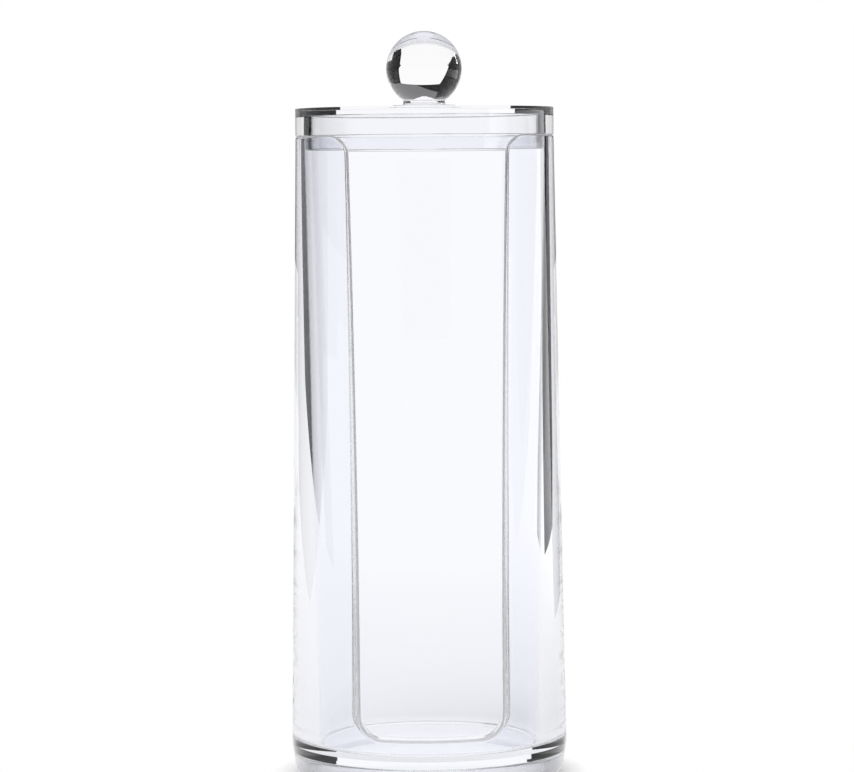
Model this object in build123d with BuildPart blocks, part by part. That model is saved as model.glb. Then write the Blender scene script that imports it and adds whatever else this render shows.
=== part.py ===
from build123d import *

import os
from math import sqrt

# Clear cotton pad organizer: a tall jar with a front slot, a plug lid and a ball knob.
# Millimetres, +Z up, the slot faces -Y, the origin is under the middle of the foot.

# Jar, heights from the table
jar_height = 168.7
parting_height = 8.8
floor_height = 9.2
foot_radius = 35.2
base_radius = 36.4
rim_radius = 33.9
rim_wall = 2.2
floor_wall = 7.1
foot_rounding = 3.0
floor_fillet = 1.2
edge_rounding = 0.7

# Hollow under the base, inside the foot ring
recess_depth = 6.3
foot_ring_width = 5.0
recess_fillet = 1.0
foot_inner_rounding = 0.5

# Front slot, cut straight through along Y
slot_top_width = 40.2
slot_sill_width = 36.4
sill_rise = 5.1
slot_corner_radius = 5.5
slot_flare_radius = 5.2

# Lid, a plate with a ring that steps in to a plug
lid_height = 7.2
plate_thickness = 1.9
plug_depth = 3.9
plug_wall = 1.45
plug_clearance = 0.3
plug_rounding = 0.4
plug_inner_rounding = 0.2
ring_root_fillet = 0.3
lid_edge_rounding = 0.12
boss_radius = 8.3
boss_height = 0.8
boss_rounding = 0.2

# Ball knob, bonded to the boss
knob_height = 19.4
ball_radius = 9.9
neck_radius = 5.5
neck_fillet = 0.6
neck_root_fillet = 0.6


def outer_radius(z):
    """Radius of the wall outside, which tapers from the parting line to the rim."""
    share = (z - parting_height) / (jar_height - parting_height)
    return base_radius + (rim_radius - base_radius) * share


recess_radius = foot_radius - foot_ring_width
rim_inner = rim_radius - rim_wall
floor_inner = outer_radius(floor_height) - floor_wall


def inner_radius(z):
    """Radius of the wall inside, which narrows towards the floor."""
    share = (z - floor_height) / (jar_height - floor_height)
    return floor_inner + (rim_inner - floor_inner) * share


sill_height = floor_height + sill_rise
plug_bottom = jar_height - plug_depth
plug_radius = inner_radius(plug_bottom) - plug_clearance
ring_inner = plug_radius - plug_wall
plate_top = jar_height + lid_height
plate_under = plate_top - plate_thickness
boss_top = plate_top + boss_height
ball_height = boss_top + knob_height - ball_radius
neck_top = ball_height - sqrt(ball_radius**2 - neck_radius**2)

# One moulding: foot ring, base slab and tapered wall, turned about Z
with BuildPart() as jar:
    with BuildSketch(Plane.XZ) as section:
        with BuildLine():
            Polyline(
                (0, recess_depth),
                (recess_radius, recess_depth),
                (recess_radius, 0),
                (foot_radius, 0),
                (base_radius, parting_height),
                (rim_radius, jar_height),
                (rim_inner, jar_height),
                (floor_inner, floor_height),
                (0, floor_height),
                close=True,
            )
        make_face()
        corners = section.vertices()

        def corner(x, z):
            """The section's corner at this place."""
            return min(corners, key=lambda v: (v.X - x) ** 2 + (v.Y - z) ** 2)

        ceiling = corner(recess_radius, recess_depth)
        foot_in = corner(recess_radius, 0)
        foot_out = corner(foot_radius, 0)
        root = corner(floor_inner, floor_height)
        fillet(ceiling, recess_fillet)
        fillet(foot_in, foot_inner_rounding)
        fillet(foot_out, foot_rounding)
        fillet(root, floor_fillet)
    revolve(axis=Axis.Z)

    # The slot's sides rise upright from the sill, bow outwards and flare into the rim
    with BuildSketch(Plane.XZ) as opening:
        half_top, half_sill = slot_top_width / 2, slot_sill_width / 2
        half_middle = half_sill + (half_top - half_sill) / 4
        middle_height = (sill_height + jar_height) / 2
        reach = half_top + 2 * slot_flare_radius
        clear = jar_height + 10
        with BuildLine():
            Line((-half_sill, sill_height), (half_sill, sill_height))
            ThreePointArc(
                (half_sill, sill_height),
                (half_middle, middle_height),
                (half_top, jar_height),
            )
            Polyline(
                (half_top, jar_height),
                (reach, jar_height),
                (reach, clear),
                (-reach, clear),
                (-reach, jar_height),
                (-half_top, jar_height),
            )
            ThreePointArc(
                (-half_top, jar_height),
                (-half_middle, middle_height),
                (-half_sill, sill_height),
            )
        make_face()
        sill_ends = opening.vertices().group_by(Axis.Y)[0]
        flares = (
            opening.vertices().group_by(Axis.Y)[1].sort_by(lambda v: abs(v.X))[:2]
        )
        fillet(flares, slot_flare_radius)
        fillet(sill_ends, slot_corner_radius)
    extrude(amount=base_radius + 5, mode=Mode.SUBTRACT)

    # The rim and the slot share one rounded edge outside and one inside
    rim_face = jar.faces().filter_by(Axis.Z).sort_by(Axis.Z)[-1]
    sill_face = (
        jar.faces()
        .filter_by(Axis.Z)
        .filter_by(lambda f: abs(f.center().Z - sill_height) < 1e-3)[0]
    )
    cut_faces = [
        f
        for f in jar.faces()
        if sill_height - 1e-3 <= f.bounding_box().min.Z
        and f.bounding_box().max.Y < 0
    ]
    edges = set()
    for face in [rim_face, sill_face, *cut_faces]:
        for edge in face.edges():
            middle = edge @ 0.5
            reach_out = sqrt(middle.X**2 + middle.Y**2)
            on_outside = abs(reach_out - outer_radius(middle.Z)) < 0.01
            on_inside = abs(reach_out - inner_radius(middle.Z)) < 0.01
            if on_outside or on_inside:
                edges.add(edge)
    fillet(list(edges), edge_rounding)
jar.part.label = "jar"

# Plate, ring, plug and boss, turned about Z, with the shoulder on the rim
with BuildPart() as lid:
    with BuildSketch(Plane.XZ) as section:
        with BuildLine():
            Polyline(
                (0, plate_under),
                (ring_inner, plate_under),
                (ring_inner, plug_bottom),
                (plug_radius, plug_bottom),
                (plug_radius, jar_height),
                (rim_radius, jar_height),
                (rim_radius, plate_top),
                (boss_radius, plate_top),
                (boss_radius, boss_top),
                (0, boss_top),
                close=True,
            )
        make_face()
        corners = section.vertices()
        rounded = [
            (corner(ring_inner, plate_under), ring_root_fillet),
            (corner(ring_inner, plug_bottom), plug_inner_rounding),
            (corner(plug_radius, plug_bottom), plug_rounding),
            (corner(rim_radius, jar_height), lid_edge_rounding),
            (corner(rim_radius, plate_top), lid_edge_rounding),
            (corner(boss_radius, boss_top), boss_rounding),
        ]
        for vertex, radius in rounded:
            fillet(vertex, radius)
    revolve(axis=Axis.Z)
lid.part.label = "lid"

# Solid ball on a short neck that widens a little where it stands on the boss
neck_foot = neck_radius + neck_root_fillet
root_bend = neck_root_fillet / sqrt(2)
with BuildPart() as knob:
    with BuildSketch(Plane.XZ) as section:
        with BuildLine():
            Line((0, boss_top), (neck_foot, boss_top))
            ThreePointArc(
                (neck_foot, boss_top),
                (neck_foot - root_bend, boss_top + neck_root_fillet - root_bend),
                (neck_radius, boss_top + neck_root_fillet),
            )
            Line((neck_radius, boss_top + neck_root_fillet), (neck_radius, neck_top))
            ThreePointArc(
                (neck_radius, neck_top),
                (ball_radius, ball_height),
                (0, ball_height + ball_radius),
            )
            Line((0, ball_height + ball_radius), (0, boss_top))
        make_face()
        corners = section.vertices()
        fillet(corner(neck_radius, neck_top), neck_fillet)
    revolve(axis=Axis.Z)
knob.part.label = "knob"

os.makedirs("parts", exist_ok=True)
for piece in (jar.part, lid.part, knob.part):
    export_step(piece, f"parts/{piece.label}.step")
    box = piece.bounding_box()
    print(f"{piece.label}: {piece.volume / 1000:.1f} cm3, {box.min.Z:.2f} to {box.max.Z:.2f}")
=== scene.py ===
from math import radians

import bpy
import numpy as np
from mathutils import Matrix, Vector


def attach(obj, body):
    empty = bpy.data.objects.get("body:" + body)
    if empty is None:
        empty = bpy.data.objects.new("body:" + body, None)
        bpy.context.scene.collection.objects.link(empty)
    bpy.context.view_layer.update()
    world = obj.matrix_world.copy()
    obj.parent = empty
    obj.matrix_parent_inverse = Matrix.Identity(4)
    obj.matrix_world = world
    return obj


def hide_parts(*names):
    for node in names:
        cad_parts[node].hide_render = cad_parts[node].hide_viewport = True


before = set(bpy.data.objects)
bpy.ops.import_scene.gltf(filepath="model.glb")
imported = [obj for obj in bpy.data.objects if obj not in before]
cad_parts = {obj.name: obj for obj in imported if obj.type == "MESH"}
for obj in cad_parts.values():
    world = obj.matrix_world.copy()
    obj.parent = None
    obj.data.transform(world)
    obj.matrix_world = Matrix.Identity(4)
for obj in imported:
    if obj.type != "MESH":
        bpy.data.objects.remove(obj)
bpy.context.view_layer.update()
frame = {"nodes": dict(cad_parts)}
scene = bpy.context.scene
scene.view_settings.view_transform = "Standard"
print("frame loaded:", ", ".join(frame["nodes"]))

# Light crosses many clear walls here, so paths may be long
scene.cycles.max_bounces = 48
scene.cycles.transmission_bounces = 48
scene.cycles.glossy_bounces = 24
scene.cycles.use_denoising = True

mm = 0.001
turn = 2 * np.pi

# The camera stands in front of the slot, near the lid's level, and looks down a little.
# Millimetres and degrees, and metres for the clip distances
shot = dict(
    distance=880.0, eyeHeight=158.1, sideways=0.12, pitchDown=3.6, roll=0.47, yaw=-1.2,
    lens=140.7, sensor=36.0, clipStart=0.02, clipEnd=60.0,
)


def placeCamera(s):
    data = bpy.data.cameras.new("shotCamera")
    data.sensor_width, data.lens = s["sensor"], s["lens"]
    data.clip_start, data.clip_end = s["clipStart"], s["clipEnd"]
    camera = bpy.data.objects.new("shotCamera", data)
    scene.collection.objects.link(camera)
    place = Matrix.Translation((s["sideways"] * mm, -s["distance"] * mm, s["eyeHeight"] * mm))
    tilt = Matrix.Rotation(radians(90 - s["pitchDown"]), 4, "X")
    roll = Matrix.Rotation(radians(-s["roll"]), 4, "Z")
    yaw = Matrix.Rotation(radians(s["yaw"]), 4, "Z")
    camera.matrix_world = yaw @ place @ tilt @ roll
    scene.camera = camera


placeCamera(shot)
print("camera placed")


# A socket with arithmetic: each operator on values adds one Math node
class Wire:
    def __init__(self, tree, socket=None):
        self.tree, self.socket = tree, socket

    # Any other node: its type, its settings, the values or links of its sockets, and the output that goes on
    def node(self, kind, settings=(), links=(), out=0):
        made = self.tree.nodes.new(kind)
        for key, value in dict(settings).items():
            setattr(made, key, value)
        for key, value in dict(links).items():
            if isinstance(value, Wire):
                self.tree.links.new(value.socket, made.inputs[key])
            else:
                made.inputs[key].default_value = value
        return Wire(self.tree, made.outputs[out] if len(made.outputs) else None)

    # One shader where the share is 0 and the other where it is 1
    def mix(self, share, one, two):
        return self.node("ShaderNodeMixShader", links={0: share, 1: one, 2: two})

    def calc(self, operation, one, two):
        return self.node("ShaderNodeMath", {"operation": operation}, {0: one, 1: two})

    def __add__(self, other):
        return self.calc("ADD", self, other)

    def __sub__(self, other):
        return self.calc("SUBTRACT", self, other)

    def __rsub__(self, other):
        return self.calc("SUBTRACT", other, self)

    def __mul__(self, other):
        return self.calc("MULTIPLY", self, other)

    def __truediv__(self, other):
        return self.calc("DIVIDE", self, other)

    def most(self, other):
        return self.calc("MAXIMUM", self, other)

    def clip(self):
        return self.calc("MINIMUM", self.calc("MAXIMUM", self, 0.0), 1.0)


def emptyTree(owner):
    owner.use_nodes = True
    owner.node_tree.nodes.clear()
    return Wire(owner.node_tree)


# A line through corners (r, z, rounding): each corner becomes an arc that touches both runs,
# and each straight run is divided into steps no longer than the given one
def roundedLine(corners, arcSteps=10, longest=4.0):
    def straight(one, two):
        count = max(1, int(np.ceil(np.linalg.norm(two - one) / longest)))
        return one + np.linspace(0, 1, count + 1)[1:, None] * (two - one)

    spots = np.array([c[:2] for c in corners], float)
    runs = [spots[:1]]
    last = spots[0]
    for before, here, after, corner in zip(spots[:-2], spots[1:-1], spots[2:], corners[1:-1]):
        toBefore = (before - here) / np.linalg.norm(before - here)
        toAfter = (after - here) / np.linalg.norm(after - here)
        between = (toBefore + toAfter) / np.linalg.norm(toBefore + toAfter)
        half = np.arccos(np.clip(toBefore @ toAfter, -1, 1)) / 2
        rounding = corner[2]
        start = here + toBefore * rounding / np.tan(half)
        end = here + toAfter * rounding / np.tan(half)
        middle = here + between * rounding / np.sin(half)
        sweep = np.pi - 2 * half
        share = np.linspace(0, 1, arcSteps + 1)[1:, None]
        fromStart = np.sin((1 - share) * sweep) * (start - middle)
        toEnd = np.sin(share * sweep) * (end - middle)
        runs += [straight(last, start), middle + (fromStart + toEnd) / np.sin(sweep)]
        last = end
    return np.concatenate([*runs, straight(last, spots[-1])])


# A profile (r, z) turned about Z: the point at angle a is (r sin a, -r cos a, z), so a = 0 is the front
def turned(profile, angles):
    r, z = profile[:, :1], profile[:, 1:]
    return np.stack([r * np.sin(angles), -r * np.cos(angles), z + 0 * angles], -1)


# Normal of a grid: the step along its columns crossed with the step along its rows; a pole takes the axis
def gridNormals(points, wrap):
    if wrap:
        along = np.roll(points, -1, 1) - np.roll(points, 1, 1)
    else:
        along = np.gradient(points, axis=1)
    normals = np.cross(along, np.gradient(points, axis=0))
    size = np.linalg.norm(normals, axis=-1, keepdims=True)
    normals = normals / np.maximum(size, 1e-30)
    for row, beside in ((0, 1), (-1, -2)):
        if size[row].max() < 1e-9 * size.max():
            normals[row] = (0, 0, np.sign(normals[beside, :, 2].mean()))
    return normals


# One closed mesh from grids that share their borders: equal points are joined, quads that end in a pole
# become triangles, and every corner keeps its own grid's normal. Worn is the share of handling wear per row
def weldGrids(name, grids):
    allPoints, allNormals, allWear, quads, start = [], [], [], [], 0
    for points, normals, wrap, worn in grids:
        rows, columns = points.shape[:2]
        index = np.arange(rows * columns).reshape(rows, columns) + start
        if wrap:
            index = np.concatenate([index, index[:, :1]], 1)
        ring = (index[:-1, :-1], index[:-1, 1:], index[1:, 1:], index[1:, :-1])
        quads.append(np.stack(ring, -1).reshape(-1, 4))
        allPoints.append(points.reshape(-1, 3))
        allNormals.append((gridNormals(points, wrap) if normals is None else normals).reshape(-1, 3))
        allWear.append((np.reshape(worn, (-1, 1)) * np.ones((rows, columns))).reshape(-1))
        start += rows * columns
    points, normals, wear, quads = (np.concatenate(a) for a in (allPoints, allNormals, allWear, quads))
    _, first, joined = np.unique(np.round(points, 6), axis=0, return_index=True, return_inverse=True)
    joined = joined.reshape(-1)
    corners = joined[quads]
    same = corners == np.roll(corners, -1, 1)
    whole = ~same.any(1)
    ending = same.sum(1) == 1
    keep = np.argsort(same[ending], 1, kind="stable")[:, :3]
    keep.sort(1)
    thirds = np.take_along_axis(quads[ending], keep, 1)
    faces = joined[quads[whole]].tolist() + joined[thirds].tolist()
    cornerNormals = np.concatenate([normals[quads[whole]].reshape(-1, 3), normals[thirds].reshape(-1, 3)])
    mesh = bpy.data.meshes.new(name)
    mesh.from_pydata((points[first] * mm).tolist(), [], faces)
    mesh.shade_smooth()
    wearLayer = mesh.attributes.new("wear", "FLOAT", "POINT")
    wearLayer.data.foreach_set("value", wear[first].astype(np.float32))
    mesh.normals_split_custom_set(cornerNormals.tolist())
    piece = bpy.data.objects.new(name, mesh)
    scene.collection.objects.link(piece)
    print(f"{name}: {len(mesh.vertices)} points, {len(mesh.polygons)} faces")
    return piece


# Jar sizes in millimetres, heights from the table
jarSizes = dict(
    rim=168.7, parting=8.8, floor=9.2, footRadius=35.2, baseRadius=36.4, rimRadius=33.9,
    rimWall=2.2, floorWall=7.1, footRounding=3.0, floorFillet=1.2, partingEdge=0.3, rimEdge=0.7, sillEdge=1.1,
    recessDepth=6.3, footRing=5.0, recessFillet=1.0, footInside=0.5,
    slotTop=40.2, slotSill=36.4, sillRise=5.1, slotCorner=5.5, slotFlare=5.2,
    backColumns=260, sillColumns=56, sideRows=64, flareRows=12, cornerRows=14, edgeSteps=12, leastWeight=0.2,
    insideWear=0.3, wearPower=2.5, footWear=0.5, footWearPower=0.3, footWearMargin=1.0,
)


# The jar is a turned foot, slab and floor, a wall that stops at the slot, and one rounded edge that
# runs along the rim, down one side of the slot, along its sill and up the other side
def makeJar(s):
    sill = s["floor"] + s["sillRise"]
    outerSlope = (s["rimRadius"] - s["baseRadius"]) / (s["rim"] - s["parting"])
    outer = lambda z: s["baseRadius"] + outerSlope * (z - s["parting"])
    floorRadius = outer(s["floor"]) - s["floorWall"]
    innerSlope = (s["rimRadius"] - s["rimWall"] - floorRadius) / (s["rim"] - s["floor"])
    inner = lambda z: floorRadius + innerSlope * (z - s["floor"])

    # Half of the slot's outline seen from the front, set back into the wall by a share of the edge rounding,
    # from the rim down to the sill: flare arc, bowed side, corner arc. The side is a wide arc, upright at the sill
    spread = (s["slotTop"] - s["slotSill"]) / 2
    bow = ((s["rim"] - sill) ** 2 + spread**2) / (2 * spread)
    bowX = s["slotSill"] / 2 + bow
    flareZ, cornerZ = s["rim"] - s["slotFlare"], sill + s["slotCorner"]
    flareTurn = np.arcsin((flareZ - sill) / (bow - s["slotFlare"]))
    cornerTurn = np.arcsin((cornerZ - sill) / (bow + s["slotCorner"]))
    flareX = bowX - (bow - s["slotFlare"]) * np.cos(flareTurn)
    cornerX = bowX - (bow + s["slotCorner"]) * np.cos(cornerTurn)

    def arc(x, z, radius, first, last, steps):
        bend = np.linspace(first, last, steps + 1)
        return np.stack([x + radius * np.cos(bend), z + radius * np.sin(bend)], -1)

    def outline(back):
        high, low = back * s["rimEdge"], back * s["sillEdge"]
        sideRadius = bow - np.linspace(high, low, s["sideRows"] + 1)
        flare = arc(flareX, flareZ, s["slotFlare"] - high, np.pi / 2, np.pi - flareTurn, s["flareRows"])
        side = arc(bowX, sill, sideRadius, np.pi - flareTurn, np.pi - cornerTurn, s["sideRows"])
        corner = arc(cornerX, cornerZ, s["slotCorner"] + low, -cornerTurn, -np.pi / 2, s["cornerRows"])
        return np.concatenate([flare, side[1:-1], corner])

    # The wall from the slot's right side round the back to its left side: each row has even angles
    def wall(back, radius):
        x, z = outline(back).T
        first = np.arcsin(x / radius(z))[:, None]
        angles = first + (turn - 2 * first) * np.linspace(0, 1, s["backColumns"] + 1)
        r = radius(z)[:, None]
        return np.stack([r * np.sin(angles), -r * np.cos(angles), z[:, None] + 0 * angles], -1), angles

    # Points of the sill between the slot's corners, left to right, on a wall of this radius
    def sillPoints(back, radius):
        z = sill - back * s["sillEdge"]
        x = np.linspace(-cornerX, cornerX, s["sillColumns"] + 2)[1:-1]
        return np.stack([x, -np.sqrt(radius(z) ** 2 - x**2), z + 0 * x], -1)

    # The whole edge as one closed line of points
    def edgeLoop(back, radius):
        grid = wall(back, radius)[0]
        return np.concatenate([grid[0], grid[1:, -1], sillPoints(back, radius), grid[:0:-1, 0]])

    lines = [edgeLoop(1, outer), edgeLoop(0, outer), edgeLoop(0, inner), edgeLoop(1, inner)]
    outEdge, outSharp, inSharp, inEdge = lines
    across = inSharp - outSharp
    across = across / np.linalg.norm(across, axis=1, keepdims=True)
    outFlat = outSharp + across * np.linalg.norm(outEdge - outSharp, axis=1, keepdims=True)
    inFlat = inSharp - across * np.linalg.norm(inEdge - inSharp, axis=1, keepdims=True)

    # Each rounding is a conic from one face to the other with the sharp corner as its control point,
    # weighted by the sine of half the angle between the faces, which makes it an arc
    def rounding(one, sharp, two, share):
        toOne, toTwo = one - sharp, two - sharp
        cosine = np.sum(toOne * toTwo, 1) / np.linalg.norm(toOne, axis=1) / np.linalg.norm(toTwo, axis=1)
        weight = np.clip(np.sqrt((1 - cosine) / 2), s["leastWeight"], 1)[:, None]
        atOne, atSharp, atTwo = (1 - share) ** 2, 2 * share * (1 - share) * weight, share**2
        return (atOne * one + atSharp * sharp + atTwo * two) / (atOne + atSharp + atTwo)

    def edgeAt(shares, shift):
        outside = [rounding(outEdge, outSharp, outFlat, t + shift) for t in shares]
        inside = [rounding(inFlat, inSharp, inEdge, t + shift) for t in shares]
        return np.stack(outside + inside)

    shares = np.linspace(0, 1, s["edgeSteps"] + 1)
    edge = edgeAt(shares, 0)
    along = np.roll(edge, -1, 1) - np.roll(edge, 1, 1)
    edgeNormals = np.cross(along, edgeAt(shares, 1e-4) - edgeAt(shares, -1e-4))
    edgeNormals /= np.linalg.norm(edgeNormals, axis=-1, keepdims=True)

    # A tapered wall faces outwards, and up by as much as it leans in
    def wallNormals(angles, slope):
        return np.stack([np.sin(angles), -np.cos(angles), -slope + 0 * angles], -1) / np.hypot(1, slope)

    outerWall, outerAngles = wall(1, outer)
    innerWall, innerAngles = wall(1, inner)
    outerNormals = wallNormals(outerAngles, outerSlope)
    innerNormals = -wallNormals(innerAngles, innerSlope)

    # Below the sill the angles of the wall's last row and of the sill go all the way round
    def roundAngles(grid, radius):
        ring = np.concatenate([grid[-1], sillPoints(1, radius)])
        return np.unwrap(np.arctan2(ring[:, 0], -ring[:, 1]))

    low = sill - s["sillEdge"]
    recess = s["footRadius"] - s["footRing"]
    under = roundedLine([
        (0, s["recessDepth"]), (recess, s["recessDepth"], s["recessFillet"]), (recess, 0, s["footInside"]),
        (s["footRadius"], 0, s["footRounding"]), (s["baseRadius"], s["parting"], s["partingEdge"]),
        (outer(low), low),
    ])
    floor = roundedLine([(inner(low), low), (floorRadius, s["floor"], s["floorFillet"]), (0, s["floor"])])

    # The foot is dulled where it stands and less so higher up inside; the edge most in the middle of its roundings
    depth = np.clip(1 - under[:, 1] / s["recessDepth"], 0, 1)
    inward = under[:, 0] < s["footRadius"] - s["footWearMargin"]
    footWear = depth ** s["footWearPower"] * inward * s["footWear"]
    edgeWear = np.outer((1, s["insideWear"]), np.sin(np.pi * shares) ** s["wearPower"]).reshape(-1)
    return weldGrids("clearJar", [
        (turned(under, roundAngles(outerWall, outer)), None, True, footWear),
        (outerWall[::-1], outerNormals[::-1], False, 0),
        (edge, edgeNormals, True, edgeWear),
        (innerWall, innerNormals, False, 0),
        (turned(floor, roundAngles(innerWall, inner)), None, True, 0),
    ])


# Lid sizes in millimetres, heights from the table; seat is the air left under the shoulder
lidSizes = dict(
    rim=168.7, seat=0.04, height=7.2, radius=33.9, plate=1.9, plugDepth=3.9, plugRadius=31.341, plugWall=1.45,
    plugRounding=0.4, plugInside=0.2, root=0.3, shoulderRoot=0.15, edge=0.12, topEdge=0.05,
    bossRadius=8.3, bossHeight=0.8, bossRoot=0.2, bossEdge=0.2, columns=288,
)


# The lid is one profile turned about Z, from the middle of the plate's underside round the ring to the boss
def makeLid(s):
    top = s["rim"] + s["height"]
    under, bottom, shoulder = top - s["plate"], s["rim"] - s["plugDepth"], s["rim"] + s["seat"]
    ring, bossTop = s["plugRadius"] - s["plugWall"], top + s["bossHeight"]
    profile = roundedLine([
        (0, under), (ring, under, s["root"]), (ring, bottom, s["plugInside"]),
        (s["plugRadius"], bottom, s["plugRounding"]), (s["plugRadius"], shoulder, s["shoulderRoot"]),
        (s["radius"], shoulder, s["edge"]), (s["radius"], top, s["topEdge"]),
        (s["bossRadius"], top, s["bossRoot"]), (s["bossRadius"], bossTop, s["bossEdge"]), (0, bossTop),
    ])
    angles = np.linspace(0, turn, s["columns"], endpoint=False)
    return weldGrids("clearLid", [(turned(profile, angles), None, True, 0)])


# Knob sizes in millimetres; bond is how far the neck sinks into the boss where the two are fused
knobSizes = dict(
    base=176.7, height=19.4, ball=9.9, neck=5.5, fillet=0.6, root=0.6, bond=0.03, footEdge=0.01,
    columns=224, ballRows=96, arcRows=9, footStep=1.0,
)


# The knob is a neck that runs into the boss and into a ball through small hollow arcs, turned about Z
def makeKnob(s):
    middle = s["base"] + s["height"] - s["ball"]
    # The hollow arc touches the neck and the ball: its centre is one fillet off the neck and off the ball
    hollowX = s["neck"] + s["fillet"]
    hollowZ = middle - np.sqrt((s["ball"] + s["fillet"]) ** 2 - hollowX**2)
    meet = np.arctan2(hollowX, middle - hollowZ)
    bend = np.linspace(np.pi, np.pi / 2 + meet, s["arcRows"])[:, None]
    hollow = np.array([hollowX, hollowZ]) + s["fillet"] * np.concatenate([np.cos(bend), np.sin(bend)], 1)
    climb = np.linspace(meet, np.pi, s["ballRows"])[1:, None]
    ball = np.concatenate([s["ball"] * np.sin(climb), middle - s["ball"] * np.cos(climb)], 1)
    ball[-1, 0] = 0
    wide, low = s["neck"] + s["root"], s["base"] - s["bond"]
    rise = np.linspace(0, np.pi / 2, s["arcRows"])[:, None]
    root = np.concatenate([wide - s["root"] * np.sin(rise), s["base"] + s["root"] * (1 - np.cos(rise))], 1)
    foot = roundedLine([(0, low), (wide, low, s["footEdge"]), tuple(root[0])], longest=s["footStep"])
    profile = np.concatenate([foot, root[1:], hollow, ball])
    angles = np.linspace(0, turn, s["columns"], endpoint=False)
    return weldGrids("ballKnob", [(turned(profile, angles), None, True, 0)])


# Polished clear acrylic: refracts almost cleanly, with faint flow waves from moulding and a little handling haze
plasticLook = dict(
    jar=dict(tint=(0.95, 0.957, 0.992), gleam=0.6, haze=0.03, wave=0.02, waveSize=38.0, stretch=0.16),
    lid=dict(tint=(0.96, 0.963, 0.985), gleam=0.6, haze=0.025, wave=0.10, waveSize=55.0, stretch=1.0),
    knob=dict(tint=(0.97, 0.97, 0.975), gleam=0.28, haze=0.015, wave=0.04, waveSize=60.0, stretch=1.0),
)

# What the three have in common; the depth of a wave is in metres
plasticFinish = dict(
    ior=1.49, polish=0.004, waveDetail=2.0, waveRoughness=0.4, waveDepth=0.0004,
    smear=dict(size=90.0, detail=5.0, roughness=0.6, start=0.48, gain=3.0, share=0.7),
    speck=dict(size=900.0, detail=2.0, roughness=0.5, start=0.62, gain=5.0, share=0.3),
    wornHaze=0.9, wornShare=0.8, scuff=(0.95, 0.95, 0.97, 1),
)


def clearPlastic(name, look, finish):
    material = bpy.data.materials.new(name)
    w = emptyTree(material)
    place = w.node("ShaderNodeTexCoord", out="Object")

    def noise(where, size, detail, roughness):
        links = {"Vector": where, "Scale": size, "Detail": detail, "Roughness": roughness}
        return w.node("ShaderNodeTexNoise", links=links)

    # Patches where a noise rises above its start
    def patches(s):
        above = noise(place, s["size"], s["detail"], s["roughness"]) - s["start"]
        return (above * s["gain"]).clip() * s["share"]

    drawn = w.node("ShaderNodeMapping", links={0: place, "Scale": (1, 1, look["stretch"])})
    wave = noise(drawn, look["waveSize"], finish["waveDetail"], finish["waveRoughness"])
    bump = w.node("ShaderNodeBump", links={
        "Height": wave, "Strength": look["wave"], "Distance": finish["waveDepth"],
    })
    worn = w.node("ShaderNodeAttribute", {"attribute_name": "wear"}, out="Fac")
    hazy = (patches(finish["smear"]) + patches(finish["speck"])) * look["haze"]
    shader = w.node("ShaderNodeBsdfPrincipled", links={
        "Base Color": (*look["tint"], 1), "Roughness": hazy + finish["polish"] + worn * finish["wornHaze"],
        "IOR": finish["ior"], "Transmission Weight": 1.0, "Normal": bump,
        "Specular Tint": (look["gleam"], look["gleam"], look["gleam"], 1),
    })
    # Light wear only dulls the polish; where an edge is well worn, part of the light scatters off it and into it
    off = w.node("ShaderNodeBsdfDiffuse", links={"Color": finish["scuff"], "Normal": bump})
    into = w.node("ShaderNodeBsdfTranslucent", links={"Color": finish["scuff"], "Normal": bump})
    wellWorn = (worn * 2 - 1).clip() * finish["wornShare"]
    w.node("ShaderNodeOutputMaterial", links={"Surface": w.mix(wellWorn, shader, w.mix(0.5, off, into))})
    return material


plastic = {node: clearPlastic(node + "Acrylic", look, plasticFinish) for node, look in plasticLook.items()}
pieces = (
    (makeJar(jarSizes), "jar", "jar_body", "clear_body", plastic["jar"]),
    (makeLid(lidSizes), "lid", "lid_body", "clear_lid", plastic["lid"]),
    (makeKnob(knobSizes), "knob", "lid_body", "clear_knob", plastic["knob"]),
)
for piece, node, body, slot, material in pieces:
    piece.data.materials.append(material)
    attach(piece, body)
    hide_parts(node)
print("pieces made")

# Studio, in metres: white table, white all round, and dark cards beside and above the white panel behind.
# The table turns white between the two distances of a fade, and glows under the object
stage = dict(
    tableRadius=6.0, tableSides=96, tableColour=(0.925, 0.925, 0.935), directFade=(0.033, 0.042),
    throughFade=(0.08, 0.42), underGlow=(0.09, 1.3), skyLight=0.88, mirrorLight=0.3,
)

# Dark floor beside the white sheet: shade and outline (x, y) in metres
floorCards = dict(
    floorRight=(0.008, [
        (0.276, 0.223), (0.223, 0.344), (0.31, 0.553), (0.54, 0.98), (2.1, 3.77), (3.3, 2.75),
    ]),
    floorLeft=(0.07, [
        (-0.38, 0.2), (-0.445, 0.387), (-0.529, 0.728), (-0.752, 1.18), (-1.18, 2.17), (-2.1, 4.05),
        (-4.6, 0.95), (-0.8, 0.2),
    ]),
)

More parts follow.
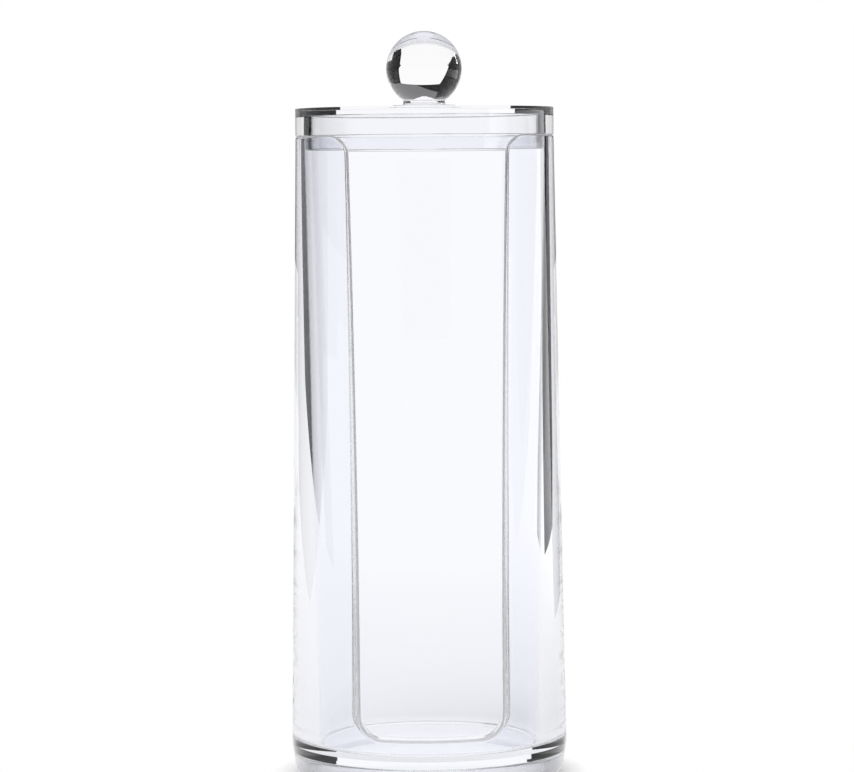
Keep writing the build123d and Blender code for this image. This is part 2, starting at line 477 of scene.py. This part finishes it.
# Cards that stand upright: shade, distance and rows (height, from angle, to angle),
# in metres and in degrees from +Y towards +X
wallCards = dict(
    wallRight=(0.006, 3.5, [(0, 27, 96), (0.12, 29, 96), (0.25, 31, 96), (1.4, 31, 96)]),
    glowRight=(2.2, 0.3, [(0, 54, 125), (0.18, 54, 125)]),
    sideRight=(0.006, 0.16, [(0.158, 36, 88), (0.244, 36, 88)]),
    wallLeft=(0.006, 3.5, [
        (0, -96, -26), (0.2, -96, -29), (0.37, -96, -32), (0.6, -96, -34), (1.26, -96, -24), (4.5, -96, -14),
    ]),
    sideLeft=(0.006, 0.16, [
        (0.151, -88, -35), (0.16, -88, -33), (0.176, -88, -29), (0.188, -88, -25), (0.235, -88, -16),
        (0.32, -88, -16),
    ]),
    wallAbove=(0.006, 3.6, [(1.4, -20, 60), (4.5, -20, 60)]),
    greyAbove=(0.19, 3.4, [(1.34, 10, 75), (1.57, 2, 75), (2.16, -18, 75), (3.1, -35, 75), (4.4, -45, 75)]),
    whiteAbove=(1.0, 3.3, [(2.6, -2, 4), (3.0, -11, 13), (3.5, -19, 21), (4.12, -27, 27), (5.5, -42, 42)]),
    windowRight=(12.0, 0.15, [(0.206, 55.5, 61), (0.247, 55.5, 61)]),
)

# What the cards have in common, in metres: a blue cast, how high a floor card lies, the points along a row,
# the height below which a bright card fades, and from how far away a card close by shows
cardLook = dict(blue=1.03, lift=0.001, rowPoints=33, fadeHeight=0.05, closeBy=1.0, ballAway=0.148, ballBlend=0.001)


# A card glows and throws no light. One brighter than white shows only where an outer face mirrors it at once.
# A dark one close by shows only through the plastic, and only to light that comes from as far away as the ball
def makeCard(name, shade, points, faces, near=False):
    s, bright = cardLook, shade > 1
    mesh = bpy.data.meshes.new(name)
    mesh.from_pydata(points.tolist(), [], faces)
    paint = bpy.data.materials.new(name)
    w = emptyTree(paint)
    glow = w.node("ShaderNodeEmission", links={"Color": (shade, shade, shade * s["blue"], 1), "Strength": 1.0})
    if bright:
        atOnce = (2 - w.node("ShaderNodeLightPath", out="Ray Depth")).clip()
        height = w.node("ShaderNodeSeparateXYZ", links={0: w.node("ShaderNodeNewGeometry")}, out="Z")
        glow = w.mix(atOnce * (height / s["fadeHeight"]).clip(), w.node("ShaderNodeBsdfTransparent"), glow)
    elif near:
        away = w.node("ShaderNodeLightPath", out="Ray Length")
        shown = ((away - s["ballAway"]) / s["ballBlend"]).clip()
        glow = w.mix(shown, w.node("ShaderNodeBsdfTransparent"), glow)
    w.node("ShaderNodeOutputMaterial", links={"Surface": glow})
    mesh.materials.append(paint)
    card = bpy.data.objects.new(name, mesh)
    card.visible_camera = card.visible_diffuse = card.visible_shadow = card.visible_volume_scatter = False
    card.visible_transmission = not bright
    card.visible_glossy = bright or not near
    scene.collection.objects.link(card)
    return card


# A floor card lies just above the table
def makeFloorCard(name, shade, outline):
    flat = np.array(outline, float)
    points = np.column_stack([flat, 0 * flat[:, 0] + cardLook["lift"]])
    return makeCard(name, shade, points, [list(range(len(flat)))])


# An upright card is part of a cylinder about the object: rows of points at even angles
def makeWallCard(name, shade, distance, rows):
    height, first, last = np.array(rows, float).T[:, :, None]
    a = np.radians(first + (last - first) * np.linspace(0, 1, cardLook["rowPoints"]))
    points = np.stack([distance * np.sin(a), distance * np.cos(a), height + 0 * a], -1).reshape(-1, 3)
    index = np.arange(a.size).reshape(a.shape)
    faces = np.stack([index[:-1, :-1], index[:-1, 1:], index[1:, 1:], index[1:, :-1]], -1).reshape(-1, 4)
    return makeCard(name, shade, points, faces.tolist(), distance < cardLook["closeBy"])


# Which rays arrive: straight from the camera, through clear plastic, or off a polished face
def rayKinds(w):
    kinds = ("Is Camera Ray", "Is Transmission Ray", "Is Glossy Ray")
    return [w.node("ShaderNodeLightPath", out=kind) for kind in kinds]


def makeStage(s):
    paint = bpy.data.materials.new("whiteTable")
    w = emptyTree(paint)
    direct, through, mirrored = rayKinds(w)
    place = w.node("ShaderNodeNewGeometry")
    out = w.node("ShaderNodeVectorMath", {"operation": "LENGTH"}, {0: place}, out="Value")
    fades = [((out - near) / (far - near)).clip() for near, far in (s["directFade"], s["throughFade"])]
    under = (1 - out / s["underGlow"][0]).clip() * s["underGlow"][1]
    share = (direct * fades[0] + through.most(mirrored) * (fades[1] + under)).clip()
    matt = w.node("ShaderNodeBsdfDiffuse", links={"Color": (*s["tableColour"], 1)})
    white = w.node("ShaderNodeEmission", links={"Color": (1, 1, 1, 1), "Strength": 1.0})
    w.node("ShaderNodeOutputMaterial", links={"Surface": w.mix(share, matt, white)})
    angle = np.linspace(0, turn, s["tableSides"], endpoint=False)
    ring = np.stack([s["tableRadius"] * np.cos(angle), s["tableRadius"] * np.sin(angle), 0 * angle], -1)
    mesh = bpy.data.meshes.new("table")
    mesh.from_pydata(ring.tolist(), [], [list(range(s["tableSides"]))])
    mesh.materials.append(paint)
    floor = bpy.data.objects.new("table", mesh)
    scene.collection.objects.link(floor)
    lying = [makeFloorCard(name, *card) for name, card in floorCards.items()]
    standing = [makeWallCard(name, *card) for name, card in wallCards.items()]

    # White to the camera and through the plastic, dimmer as a light, and dimmer still in the polish
    world = bpy.data.worlds.new("studio")
    scene.world = world
    w = emptyTree(world)
    direct, through, mirrored = rayKinds(w)
    seen = direct.most(through)
    level = seen + (1 - seen) * (mirrored * (s["mirrorLight"] - s["skyLight"]) + s["skyLight"])
    sky = w.node("ShaderNodeBackground", links={"Color": (1, 1, 1, 1), "Strength": level})
    w.node("ShaderNodeOutputWorld", links={"Surface": sky})


makeStage(stage)

# One wide soft lamp above, a little to the left and in front
lamp = dict(size=0.8, power=2.4, place=(-0.3, -0.5, 1.0), aim=(0, 0, 0.05))


def hangLamp(s):
    data = bpy.data.lights.new("softLamp", "AREA")
    data.shape, data.size, data.energy = "DISK", s["size"], s["power"]
    light = bpy.data.objects.new("softLamp", data)
    light.visible_glossy = light.visible_transmission = False
    scene.collection.objects.link(light)
    away = Vector(s["place"]) - Vector(s["aim"])
    light.matrix_world = Matrix.Translation(s["place"]) @ away.to_track_quat("Z", "Y").to_matrix().to_4x4()


hangLamp(lamp)
print("studio set")
